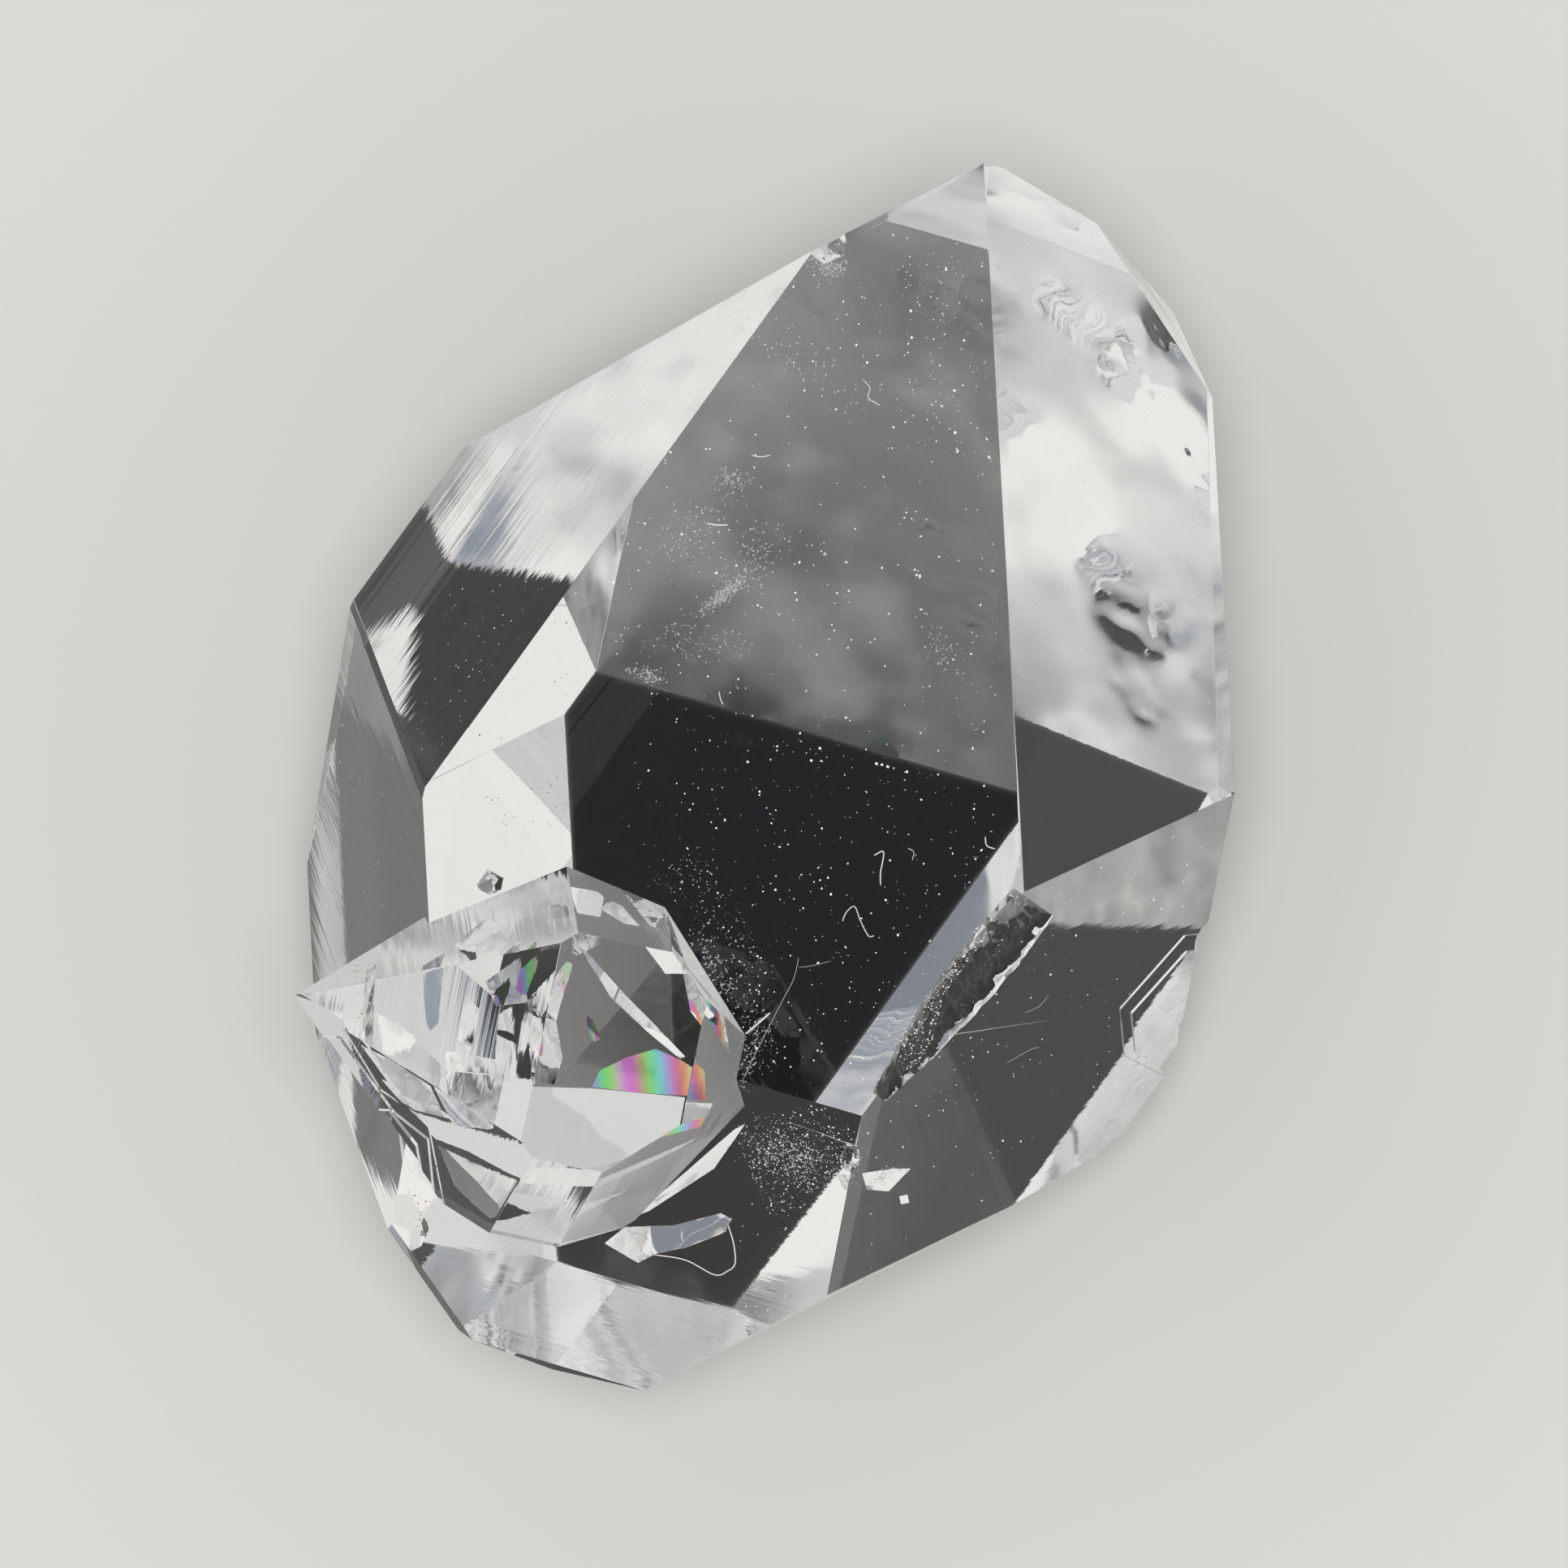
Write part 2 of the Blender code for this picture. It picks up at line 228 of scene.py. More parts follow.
# Gaps in the quartz: the outline in the photograph, and the depth of the middle and the ripple in
# millimetres. A gap keeps this margin from the surface, and is drawn in by steps until it does.
CRACKS = (
    (
        ((560, 1334), (612, 1338), (730, 1341), (845, 1352), (836, 1398), (800, 1420), (735, 1438),
         (690, 1440), (655, 1428), (612, 1400), (566, 1390)),
        1.5, 0.002,
    ),
    (((714, 1167), (722, 1172), (770, 1226), (806, 1262), (844, 1302), (838, 1305), (796, 1270), (752, 1228)),
     0.5, 0.001),
    (((449, 1195), (461, 1192), (459, 1290), (446, 1286)), 0.3, 0.003),
    (((520, 1200), (546, 1192), (540, 1260), (526, 1275)), 0.3, 0.003),
    (((574, 1220), (594, 1234), (572, 1330), (556, 1334)), 0.4, 0.002),
    (((614, 1250), (630, 1240), (638, 1332), (608, 1332)), 0.6, 0.004),
    (((650, 1235), (662, 1228), (674, 1300), (668, 1333), (655, 1333)), 0.6, 0.004),
    (((560, 1165), (600, 1130), (640, 1140), (600, 1200)), 0.3, 0.006),
    (((590, 1215), (640, 1180), (650, 1235), (610, 1240)), 0.3, 0.006),
    (((470, 1330), (520, 1350), (560, 1380), (500, 1365)), 0.3, 0.003),
    (((480, 1380), (520, 1420), (545, 1470), (500, 1440)), 0.3, 0.003),
    (((530, 1330), (600, 1340), (610, 1400), (560, 1390)), 0.5, 0.004),
    (((540, 1412), (600, 1440), (638, 1455), (606, 1508), (560, 1460)), 1.0, 0.006),
    (((445, 1288), (480, 1305), (530, 1338), (548, 1375), (490, 1350)), 0.6, 0.004),
    (((700, 1180), (712, 1170), (690, 1240), (668, 1330), (660, 1240)), 0.5, 0.004),
    (((464, 1476), (505, 1470), (538, 1526), (500, 1545)), 0.25, 0.001),
    (((745, 1532), (770, 1512), (830, 1510), (888, 1495), (902, 1502), (890, 1525), (850, 1536), (808, 1545),
      (786, 1556)), 0.25, 0.004),
    (((1062, 1446), (1100, 1440), (1122, 1440), (1095, 1468), (1068, 1466)), 0.6, 0.006),
    (((1108, 1474), (1118, 1472), (1120, 1482), (1110, 1484)), 0.3, 0.0),
    (((765, 1095), (828, 1122), (838, 1160), (800, 1140)), 0.3, 0.003),
    (((700, 1092), (745, 1100), (740, 1130), (712, 1125)), 0.6, 0.006),
    (((850, 1180), (890, 1240), (900, 1300), (868, 1250)), 0.4, 0.003),
    (((905, 1392), (918, 1385), (880, 1440), (800, 1492), (780, 1500), (850, 1440)), 0.3, 0.004),
    (((790, 1160), (830, 1165), (850, 1200), (820, 1200)), 0.5, 0.005),
    (((740, 1120), (752, 1108), (776, 1122), (792, 1142), (770, 1138)), 0.15, 0.004),
)
CRACK_GAP = 0.004 * MM
CRACK_GRAIN = 0.16 * MM
CRACK_MARGIN = 0.03 * MM
CRACK_CUTS = 5
CRACK_ROUGHNESS = 0.03
PULL_STEPS = 30

# Leans that are tried for each gap, in degrees, and the share of its outline that has to fit there.
# Light is followed from it to the tent or the table. The table is shaded under the crystal: the
# shade's half-widths, where its soft edge lies, and the light beyond it.
LEAN_HEADINGS = range(0, 360, 15)
LEAN_TILTS = (42, 46, 50, 54)
TRIED_SHARE = 0.7
LIGHT_TURNS = 12
LIGHT_STEP = 0.0001 * MM
SHADE_SIZE = (6.2 * MM, 7.5 * MM)
SHADE_EDGE = (1.05, 1.30)
TABLE_LIGHT = 0.8

# Hazy veils of tiny bubbles: the middle in the photograph, half the length and half the width in
# pixels, the way the length runs in degrees, the depth in millimetres and how many bubbles.
VEILS = (
    ((892, 732), 34, 9, -38, 1.6, 420),
    ((905, 592), 24, 16, 0, 1.6, 150),
    ((1022, 328), 22, 12, 15, 0.3, 260),
    ((798, 832), 24, 10, 20, 1.2, 200),
    ((850, 660), 60, 34, -50, 2.2, 260),
    ((930, 690), 50, 30, -40, 2.4, 240),
    ((1010, 460), 90, 40, 30, 2.4, 140),
    ((1160, 800), 40, 24, 60, 2.2, 120),
    ((860, 790), 70, 26, 10, 2.4, 200),
    ((975, 1425), 60, 36, 20, 0.4, 700),
    ((925, 1290), 20, 46, 20, 0.3, 260),
    ((1088, 1448), 20, 10, -10, 0.4, 140),
    ((880, 1190), 16, 60, -30, 0.4, 220),
)
BUBBLE_RADIUS = (0.003, 0.013)
BUBBLE_UNEVENNESS = 0.15
VEIL_THICKNESS = 0.15 * MM
VEIL_SPREAD = 0.5

# Cracks thin enough to show interference colours: the outline, the depth of the middle, and the
# light's path through the gap at the left and right ends in nanometres.
FILM_CRACKS = (
    (((729, 1339), (739, 1319), (772, 1303), (808, 1292), (841, 1307), (853, 1315), (847, 1350), (788, 1346)),
     0.7, (1150, 2350)),
    (((634, 1222), (640, 1196), (660, 1178), (662, 1188), (648, 1226)), 0.3, (1000, 1500)),
    (((722, 1250), (730, 1258), (740, 1280), (732, 1284), (724, 1270)), 0.4, (900, 1900)),
)
FILM_WAVELENGTHS = (640.0, 540.0, 450.0)
FILM_MEAN = 0.56
FILM_SWING = 0.32
FILM_ROUGHNESS = 0.12


def make_camera():
    """A long lens over the crystal."""
    camera = bpy.data.objects.new("camera", bpy.data.cameras.new("camera"))
    bpy.context.scene.collection.objects.link(camera)
    turn = Matrix((CAMERA_RIGHT, CAMERA_UP, CAMERA_DIRECTION)).transposed()
    camera.matrix_world = Matrix.Translation(CAMERA_PLACE) @ turn.to_4x4()
    camera.data.sensor_width = SENSOR_WIDTH
    camera.data.lens = SENSOR_WIDTH * CAMERA_DISTANCE / FRAME_WIDTH
    camera.data.clip_start = 1 * MM
    camera.data.clip_end = 5.0
    bpy.context.scene.camera = camera


def sky_direction(heading, height):
    """The unit vector that points to a place in the tent."""
    turn = math.radians(heading)
    rise = math.radians(height)
    return Vector((math.cos(rise) * math.cos(turn), math.cos(rise) * math.sin(turn), math.sin(rise)))


def make_tent():
    """A light tent: bright all round from the table up, dark overhead, softly uneven."""
    world = bpy.data.worlds.new("tent")
    bpy.context.scene.world = world
    world.use_nodes = True
    nodes = world.node_tree.nodes
    links = world.node_tree.links
    coordinates = nodes.new("ShaderNodeTexCoord")
    split = nodes.new("ShaderNodeSeparateXYZ")
    ramp = nodes.new("ShaderNodeValToRGB")
    links.new(coordinates.outputs["Generated"], split.inputs[0])
    links.new(split.outputs["Z"], ramp.inputs[0])
    ramp.color_ramp.interpolation = "EASE"
    ramp.color_ramp.elements[0].position = TENT_EDGE[0]
    ramp.color_ramp.elements[0].color = (*TENT_LIGHT, 1.0)
    ramp.color_ramp.elements[1].position = TENT_EDGE[1]
    ramp.color_ramp.elements[1].color = (*TENT_TOP, 1.0)
    light = ramp.outputs["Color"]
    for heading, height, half_width, tone in TENT_PATCHES:
        aim = nodes.new("ShaderNodeVectorMath")
        aim.operation = "DOT_PRODUCT"
        aim.inputs[1].default_value = sky_direction(heading, height)
        links.new(coordinates.outputs["Generated"], aim.inputs[0])
        patch = nodes.new("ShaderNodeMapRange")
        patch.interpolation_type = "SMOOTHSTEP"
        patch.inputs["From Min"].default_value = math.cos(math.radians(half_width * (1 + PATCH_SOFTNESS)))
        patch.inputs["From Max"].default_value = math.cos(math.radians(half_width * (1 - PATCH_SOFTNESS)))
        links.new(aim.outputs["Value"], patch.inputs["Value"])
        mix = nodes.new("ShaderNodeMixRGB")
        mix.inputs[2].default_value = (*tone, 1.0)
        links.new(patch.outputs[0], mix.inputs[0])
        links.new(light, mix.inputs[1])
        light = mix.outputs[0]
    links.new(light, nodes["Background"].inputs["Color"])


def make_lamp():
    """A soft lamp over the table. It doesn't show as a spot in the faces."""
    lamp = bpy.data.lights.new("table_lamp", "SUN")
    lamp.energy = LAMP_STRENGTH
    lamp.angle = LAMP_ANGLE
    lamp.color = LAMP_TINT
    holder = bpy.data.objects.new("table_lamp", lamp)
    bpy.context.scene.collection.objects.link(holder)
    holder.rotation_euler = CAMERA_DIRECTION.to_track_quat("Z", "Y").to_euler()
    holder.visible_glossy = False
    holder.visible_transmission = False


def make_floor():
    """A plain pale table."""
    shape = bmesh.new()
    bmesh.ops.create_grid(shape, x_segments=1, y_segments=1, size=FLOOR_SIZE / 2)
    mesh = bpy.data.meshes.new("floor")
    shape.to_mesh(mesh)
    shape.free()
    floor = bpy.data.objects.new("floor", mesh)
    bpy.context.scene.collection.objects.link(floor)
    floor.location.z = -FLOOR_DROP
    material, shader = new_material("floor")
    shader.inputs["Base Color"].default_value = FLOOR_TONE
    shader.inputs["Roughness"].default_value = FLOOR_ROUGHNESS
    shader.inputs["Specular IOR Level"].default_value = FLOOR_SHINE
    mesh.materials.append(material)


def new_material(name):
    """An empty material and its shader."""
    material = bpy.data.materials.new(name)
    material.use_nodes = True
    return material, material.node_tree.nodes["Principled BSDF"]


def face_direction(turn, end, direction):
    """The outward direction of a crystal's face in the frame."""
    angle = math.radians(direction)
    if end == "side":
        return turn @ Vector((math.cos(angle), math.sin(angle), 0.0))
    spread = math.sin(END_FACE_LEAN)
    rise = math.cos(END_FACE_LEAN) * (1 if end == "upper" else -1)
    return turn @ Vector((spread * math.cos(angle), spread * math.sin(angle), rise))


def attribute_value(nodes, name):
    """The number that the mesh carries under this name."""
    node = nodes.new("ShaderNodeAttribute")
    node.attribute_name = name
    return node.outputs["Fac"]


def math_node(material, operation, first, second):
    """One sum on two numbers, each a socket or a plain value."""
    node = material.node_tree.nodes.new("ShaderNodeMath")
    node.operation = operation
    for index, value in enumerate((first, second)):
        if isinstance(value, (int, float)):
            node.inputs[index].default_value = value
        else:
            material.node_tree.links.new(value, node.inputs[index])
    return node.outputs[0]


def noise_node(material, scale, detail, vector=None, value=None):
    """A noise pattern, over space or along a single number."""
    nodes = material.node_tree.nodes
    links = material.node_tree.links
    node = nodes.new("ShaderNodeTexNoise")
    node.inputs["Scale"].default_value = scale
    node.inputs["Detail"].default_value = detail
    if value is not None:
        node.noise_dimensions = "1D"
        links.new(value, node.inputs["W"])
    else:
        links.new(vector, node.inputs["Vector"])
    return node.outputs["Fac"]


def quartz_material():
    """Clear quartz: growth lines and faint waves on its faces, and cloudy patches on some."""
    material, shader = new_material("clear_quartz")
    nodes = material.node_tree.nodes
    links = material.node_tree.links
    shader.inputs["Base Color"].default_value = QUARTZ_TINT
    shader.inputs["IOR"].default_value = QUARTZ_INDEX
    shader.inputs["Transmission Weight"].default_value = 1.0
    place = nodes.new("ShaderNodeTexCoord").outputs["Object"]

    line = attribute_value(nodes, "line_place")
    lines = noise_node(material, LINE_SCALE, LINE_DETAIL, value=line)
    lines = math_node(material, "MULTIPLY", lines, attribute_value(nodes, "line_amount"))
    waves = noise_node(material, WAVE_SCALE, 0.0, vector=place)
    cloud = noise_node(material, CLOUD_SCALE, CLOUD_DETAIL, vector=place)
    etched = attribute_value(nodes, "cloudiness")
    pits = math_node(material, "MULTIPLY", math_node(material, "MULTIPLY", cloud, etched), PIT_HEIGHT)
    height = math_node(material, "ADD", lines, math_node(material, "MULTIPLY", waves, WAVE_HEIGHT))
    height = math_node(material, "ADD", height, pits)
    bump = nodes.new("ShaderNodeBump")
    bump.inputs["Strength"].default_value = 1.0
    bump.inputs["Distance"].default_value = RELIEF_HEIGHT
    links.new(height, bump.inputs["Height"])
    links.new(bump.outputs["Normal"], shader.inputs["Normal"])

    patchy = nodes.new("ShaderNodeMapRange")
    patchy.inputs["From Min"].default_value = FROST_RANGE[0]
    patchy.inputs["From Max"].default_value = FROST_RANGE[1]
    patchy.inputs["To Max"].default_value = FROST_ROUGHNESS
    links.new(cloud, patchy.inputs["Value"])
    frost = math_node(material, "MULTIPLY", patchy.outputs[0], etched)
    links.new(frost, shader.inputs["Roughness"])

    absorption = nodes.new("ShaderNodeVolumeAbsorption")
    absorption.inputs["Color"].default_value = ABSORPTION_TINT
    absorption.inputs["Density"].default_value = ABSORPTION_DENSITY
    links.new(absorption.outputs[0], nodes["Material Output"].inputs["Volume"])
    return material


def soften_breaks(shape):
    """Round the small facets of the chips and the flute into rippled broken glass."""
    rough = shape.faces.layers.int.new("rough")
    for face in shape.faces:
        if len(face.verts) == 3 and face.calc_area() < ROUGH_FACE_AREA:
            face[rough] = 1
    for _ in range(BREAK_ROUNDS):
        edges = [e for e in shape.edges if e.link_faces and all(f[rough] for f in e.link_faces)]
        bmesh.ops.subdivide_edges(shape, edges=edges, cuts=1, use_grid_fill=True)
        inner = [v for v in shape.verts if v.link_faces and all(f[rough] for f in v.link_faces)]
        bmesh.ops.smooth_vert(
            shape, verts=inner, factor=0.5, use_axis_x=True, use_axis_y=True, use_axis_z=True
        )
    shape.normal_update()
    for vertex in inner:
        coarse = noise.noise(vertex.co / BREAK_GRAIN)
        fine = noise.noise(vertex.co / BREAK_GRAIN * BREAK_FINENESS)
        ripple = coarse + BREAK_FINE_SHARE * fine
        vertex.co += vertex.normal * BREAK_RIPPLE * (ripple - BREAK_SINK)
    for face in shape.faces:
        face.smooth = bool(face[rough])
    for edge in shape.edges:
        edge.smooth = all(face[rough] for face in edge.link_faces)
    return rough


def wear_edges(shape, rough):
    """Take the sharpness off the long edges between flat faces."""
    edges = []
    for edge in shape.edges:
        if len(edge.link_faces) != 2 or edge.calc_length() < WORN_EDGE_LENGTH:
            continue
        if min(face.calc_area() for face in edge.link_faces) < FLAT_FACE_AREA:
            continue
        if any(face[rough] for vertex in edge.verts for face in vertex.link_faces):
            continue
        if edge.calc_face_angle_signed() > WORN_EDGE_ANGLE:
            edges.append(edge)
    bmesh.ops.bevel(
        shape,
        geom=edges,
        offset=WORN_EDGE_WIDTH,
        offset_type="OFFSET",
        segments=1,
        profile=0.5,
        affect="EDGES",
        clamp_overlap=True,
    )


def mark_faces(mesh):
    """Store, on each face, where its growth lines lie, how strong they are and how cloudy it is."""
    for name in ("line_place", "line_amount", "cloudiness"):
        mesh.attributes.new(name, "FLOAT", "CORNER")
    place = mesh.attributes["line_place"].data
    amount = mesh.attributes["line_amount"].data
    cloudy = mesh.attributes["cloudiness"].data
    lines = []
    for turn, face, neighbour, strength in GROWTH_LINES:
        normal = face_direction(turn, *face)
        run = normal.cross(face_direction(turn, *neighbour)).normalized()
        lines.append((normal, normal.cross(run), strength))
    clouds = [(face_direction(turn, *face), strength) for turn, face, strength in CLOUDY_FACES]
    for polygon in mesh.polygons:
        for normal, across, strength in lines:
            if polygon.normal.angle(normal) < SAME_FACE:
                for corner in polygon.loop_indices:
                    position = mesh.vertices[mesh.loops[corner].vertex_index].co
                    place[corner].value = position.dot(across) / MM
                    amount[corner].value = strength
        for normal, strength in clouds:
            if polygon.normal.angle(normal) < SAME_FACE:
                for corner in polygon.loop_indices:
                    cloudy[corner].value = strength


def make_crystal():
    """The crystal itself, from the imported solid, with whole flat faces, worn edges and rippled breaks."""
    shape = bmesh.new()
    shape.from_mesh(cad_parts[NODE].data)
    bmesh.ops.remove_doubles(shape, verts=shape.verts[:], dist=JOIN_DISTANCE)
    bmesh.ops.dissolve_limit(
        shape, angle_limit=ONE_FACE_ANGLE, verts=shape.verts[:], edges=shape.edges[:]
    )
    shape.normal_update()
    rough = soften_breaks(shape)
    wear_edges(shape, rough)
    bmesh.ops.triangulate(shape, faces=shape.faces[:])
    mesh = bpy.data.meshes.new("clear_crystal")
    shape.to_mesh(mesh)
    shape.free()
    mark_faces(mesh)
    crystal = bpy.data.objects.new("clear_crystal", mesh)
    bpy.context.scene.collection.objects.link(crystal)
    mesh.materials.append(quartz_material())
    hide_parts(NODE)
    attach(crystal, BODY)
    return crystal


def surface_tree(crystal):
    """The crystal's surface, ready to be met by rays."""
    mesh = crystal.data
    corners = [vertex.co for vertex in mesh.vertices]
    return BVHTree.FromPolygons(corners, [tuple(polygon.vertices) for polygon in mesh.polygons])


def sight_line(x, y):
    """The direction from the camera through a pixel of the photograph."""
    middle = PHOTO_WIDTH / 2
    seen = CAMERA_TARGET + CAMERA_RIGHT * ((x - middle) * PIXEL) + CAMERA_UP * ((middle - y) * PIXEL)
    return (seen - CAMERA_PLACE).normalized()


def on_surface(tree, x, y):
    """The place and the outward direction of the crystal's surface at a pixel, or None off it."""
    place, normal, _, _ = tree.ray_cast(CAMERA_PLACE, sight_line(x, y))
    if place is None:
        return None
    return place, normal


def bent_sight(tree, x, y):
    """Where the line of sight through a pixel enters the quartz, and its direction inside."""
    place, normal = on_surface(tree, x, y)
    sight = sight_line(x, y)
    facing = -sight.dot(normal)
    bend = 1.0 - (1.0 - facing * facing) / QUARTZ_INDEX**2
    path = sight / QUARTZ_INDEX + normal * (facing / QUARTZ_INDEX - math.sqrt(bend))
    return place, path.normalized()


def inside(tree, x, y, depth):
    """The place in the quartz that shows at a pixel, this far under the surface."""
    place, path = bent_sight(tree, x, y)
    return place + path * depth


def in_quartz(tree, spot, margin):
    """Whether a spot lies in the quartz, at least this far from its surface."""
    place, facing, _, _ = tree.ray_cast(spot, CAMERA_DIRECTION)
    if place is None or facing.dot(CAMERA_DIRECTION) < 0.0:
        return False
    return tree.find_nearest(spot)[3] > margin


def view_vector(across, down, away):
    """A step in the picture: pixels to the right, pixels down and metres away from the camera."""
    return (
        CAMERA_RIGHT * (across * PIXEL) - CAMERA_UP * (down * PIXEL) - CAMERA_DIRECTION * away
    )


def finish_piece(name, shape, material, smooth=False):
    """Turn a bmesh into a piece of the object. A smooth piece keeps its sharp rims."""
    for face in shape.faces:
        face.smooth = smooth
    for edge in shape.edges:
        edge.smooth = edge.calc_face_angle(math.pi) < SHARP_RIM
    mesh = bpy.data.meshes.new(name)
    shape.to_mesh(mesh)
    shape.free()
    mesh.materials.append(material)
    piece = bpy.data.objects.new(name, mesh)
    bpy.context.scene.collection.objects.link(piece)
    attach(piece, BODY)
    return piece


def unit_ball():
    """The corners and the faces of a coarse ball of radius one."""
    ball = bmesh.new()
    bmesh.ops.create_icosphere(ball, subdivisions=1, radius=1.0)
    ball.verts.index_update()
    corners = [vertex.co.copy() for vertex in ball.verts]
    faces = [[vertex.index for vertex in face.verts] for face in ball.faces]
    ball.free()
    return corners, faces


def add_grain(shape, ball, place, radius, chance, unevenness):
    """One uneven grain."""
    corners, faces = ball
    stretch = [radius * chance.uniform(1.0 - unevenness, 1.0 + unevenness) for _ in range(3)]
    turn = Matrix.Rotation(chance.uniform(0, math.pi), 3, "Z")
    made = []
    for corner in corners:
        uneven = Vector([part * size for part, size in zip(corner, stretch)])
        made.append(shape.verts.new(turn @ uneven + place))
    for face in faces:
        shape.faces.new([made[index] for index in face])


def inside_outline(x, y, outline):
    """Whether a point lies inside a closed outline."""
    crossings = 0
    for (x1, y1), (x2, y2) in zip(outline, outline[1:] + outline[:1]):
        if (y1 > y) != (y2 > y) and x < (x2 - x1) * (y - y1) / (y2 - y1) + x1:
            crossings += 1
    return crossings % 2 == 1


def random_pixel(outline, chance):
    """A chance pixel inside an outline."""
    while True:
        x = chance.uniform(min(c[0] for c in outline), max(c[0] for c in outline))
        y = chance.uniform(min(c[1] for c in outline), max(c[1] for c in outline))
        if inside_outline(x, y, outline):
            return x, y


def make_grains(tree, name, regions, colour):
    """Grains that lie on the faces, most of them very fine."""
    chance = random.Random(name)
    shape = bmesh.new()
    ball = unit_ball()
    for outline, count, (least, most) in regions:
        for _ in range(count):
            found = on_surface(tree, *random_pixel(outline, chance))
            radius = (least + (most - least) * chance.random() ** 3) * MM
            if found:
                place, normal = found
                middle = place + normal * radius * GRAIN_STAND
                add_grain(shape, ball, middle, radius, chance, GRAIN_UNEVENNESS)
    material, shader = new_material(name)
    shader.inputs["Base Color"].default_value = (*colour, 1.0)
    shader.inputs["Roughness"].default_value = GRAIN_ROUGHNESS
    finish_piece(name, shape, material)


def smooth_path(points, steps):
    """A soft curve through the points."""
    path = []
    ends = [points[0] * 2 - points[1]] + list(points) + [points[-1] * 2 - points[-2]]
    for p0, p1, p2, p3 in zip(ends, ends[1:], ends[2:], ends[3:]):
        for step in range(steps):
            t = step / steps
            path.append(
                (p1 * 2 + (p2 - p0) * t + (p0 * 2 - p1 * 5 + p2 * 4 - p3) * t**2
                 + (p1 * 3 - p0 - p2 * 3 + p3) * t**3) / 2
            )
    return path + [points[-1]]


def add_thread(shape, path, radius):
    """A round thread along a path, thinner at its ends."""
    rings = []
    for index, place in enumerate(path):
        before = path[max(index - 1, 0)]
        after = path[min(index + 1, len(path) - 1)]
        along = (after - before).normalized()
        side = along.cross(CAMERA_DIRECTION).normalized()
        over = side.cross(along)
        width = radius * (LINT_END if index in (0, len(path) - 1) else 1.0)
        ring = []
        for corner in range(LINT_SIDES):
            angle = 2 * math.pi * corner / LINT_SIDES
            ring.append(shape.verts.new(place + (side * math.cos(angle) + over * math.sin(angle)) * width))
        rings.append(ring)
    for first, second in zip(rings, rings[1:]):
        for corner in range(LINT_SIDES):
            following = (corner + 1) % LINT_SIDES
            shape.faces.new((first[corner], first[following], second[following], second[corner]))
    shape.faces.new(rings[0][::-1])
    shape.faces.new(rings[-1])


def make_lint(tree):
    """Pale fibres that lie on the faces."""
    shape = bmesh.new()
    for radius, pixels in LINT:
        points = []
        for x, y in smooth_path([Vector(pixel) for pixel in pixels], LINT_STEPS):
            place, normal = on_surface(tree, x, y)
            points.append(place + normal * radius * MM)
        add_thread(shape, points, radius * MM)
    bmesh.ops.recalc_face_normals(shape, faces=shape.faces[:])
    material, shader = new_material("lint")
    shader.inputs["Base Color"].default_value = LINT_COLOUR
    shader.inputs["Roughness"].default_value = LINT_ROUGHNESS
    finish_piece("lint", shape, material, smooth=True)


def leaning_plane(heading, tilt):
    """The direction square to a plane that leans away from the camera."""
    lean = math.tan(math.radians(tilt))
    across = CAMERA_RIGHT - CAMERA_DIRECTION * (lean * math.cos(math.radians(heading)))
    down = -CAMERA_UP - CAMERA_DIRECTION * (lean * math.sin(math.radians(heading)))
    return across.cross(down).normalized()


def gap_place(tree, outline, depth):
    """Where a gap shows in the quartz: its middle, the path of sight to it, and where sight enters."""
    middle_x = sum(x for x, _ in outline) / len(outline)
    middle_y = sum(y for _, y in outline) / len(outline)
    facet, facing = on_surface(tree, middle_x, middle_y)
    _, path = bent_sight(tree, middle_x, middle_y)
    entries = []
    for x, y in outline:
        sight = sight_line(x, y)
        entries.append(CAMERA_PLACE + sight * ((facet - CAMERA_PLACE).dot(facing) / sight.dot(facing)))
    return facet + path * (depth * MM), path, entries


def gap_corners(middle, path, entries, normal):
    """Where the paths of sight meet the plane of a gap."""
    return [entry + path * ((middle - entry).dot(normal) / path.dot(normal)) for entry in entries]


def leave_quartz(tree, spot, path):
    """Follow light from a spot in the quartz until it has left the crystal for good."""
    within = True
    for _ in range(LIGHT_TURNS):
        place, facing, _, _ = tree.ray_cast(spot, path)
        if place is None:
            break
        if facing.dot(path) > 0.0:
            facing = -facing
        index = QUARTZ_INDEX if within else 1.0 / QUARTZ_INDEX
        straight = -path.dot(facing)
        bend = 1.0 - index * index * (1.0 - straight * straight)
        if bend < 0.0:
            path = (path + facing * (2.0 * straight)).normalized()
        else:
            path = (path * index + facing * (index * straight - math.sqrt(bend))).normalized()
            within = not within
        spot = place + path * LIGHT_STEP
    return spot, path


def light_beyond(spot, path):
    """Roughly how bright the tent or the table is where a path ends. The crystal shades the table."""
    if path.z >= 0.0:
        fade = (path.z - TENT_EDGE[0]) / (TENT_EDGE[1] - TENT_EDGE[0])
        return 1.0 - min(max(fade, 0.0), 1.0)
    table = spot - path * (spot.z / path.z)
    reach = math.hypot(table.x / SHADE_SIZE[0], table.y / SHADE_SIZE[1])
    return min(max((reach - SHADE_EDGE[0]) / (SHADE_EDGE[1] - SHADE_EDGE[0]), 0.0), TABLE_LIGHT)


def mirrored_light(tree, middle, path, entries, normal):
    """How bright a gap looks at this lean, or None where it doesn't fit or doesn't mirror."""
    straight = -path.dot(normal)
    away = path + normal * (2.0 * straight)
    if QUARTZ_INDEX**2 * (1.0 - straight * straight) < 1.0:
        return None
    total = 0.0
    corners = gap_corners(middle, path, entries, normal)
    for corner in corners + [middle]:
        spot = middle.lerp(corner, TRIED_SHARE)
        if not in_quartz(tree, spot, CRACK_MARGIN):
            return None
        total += light_beyond(*leave_quartz(tree, spot, away))
    return total / (len(corners) + 1)


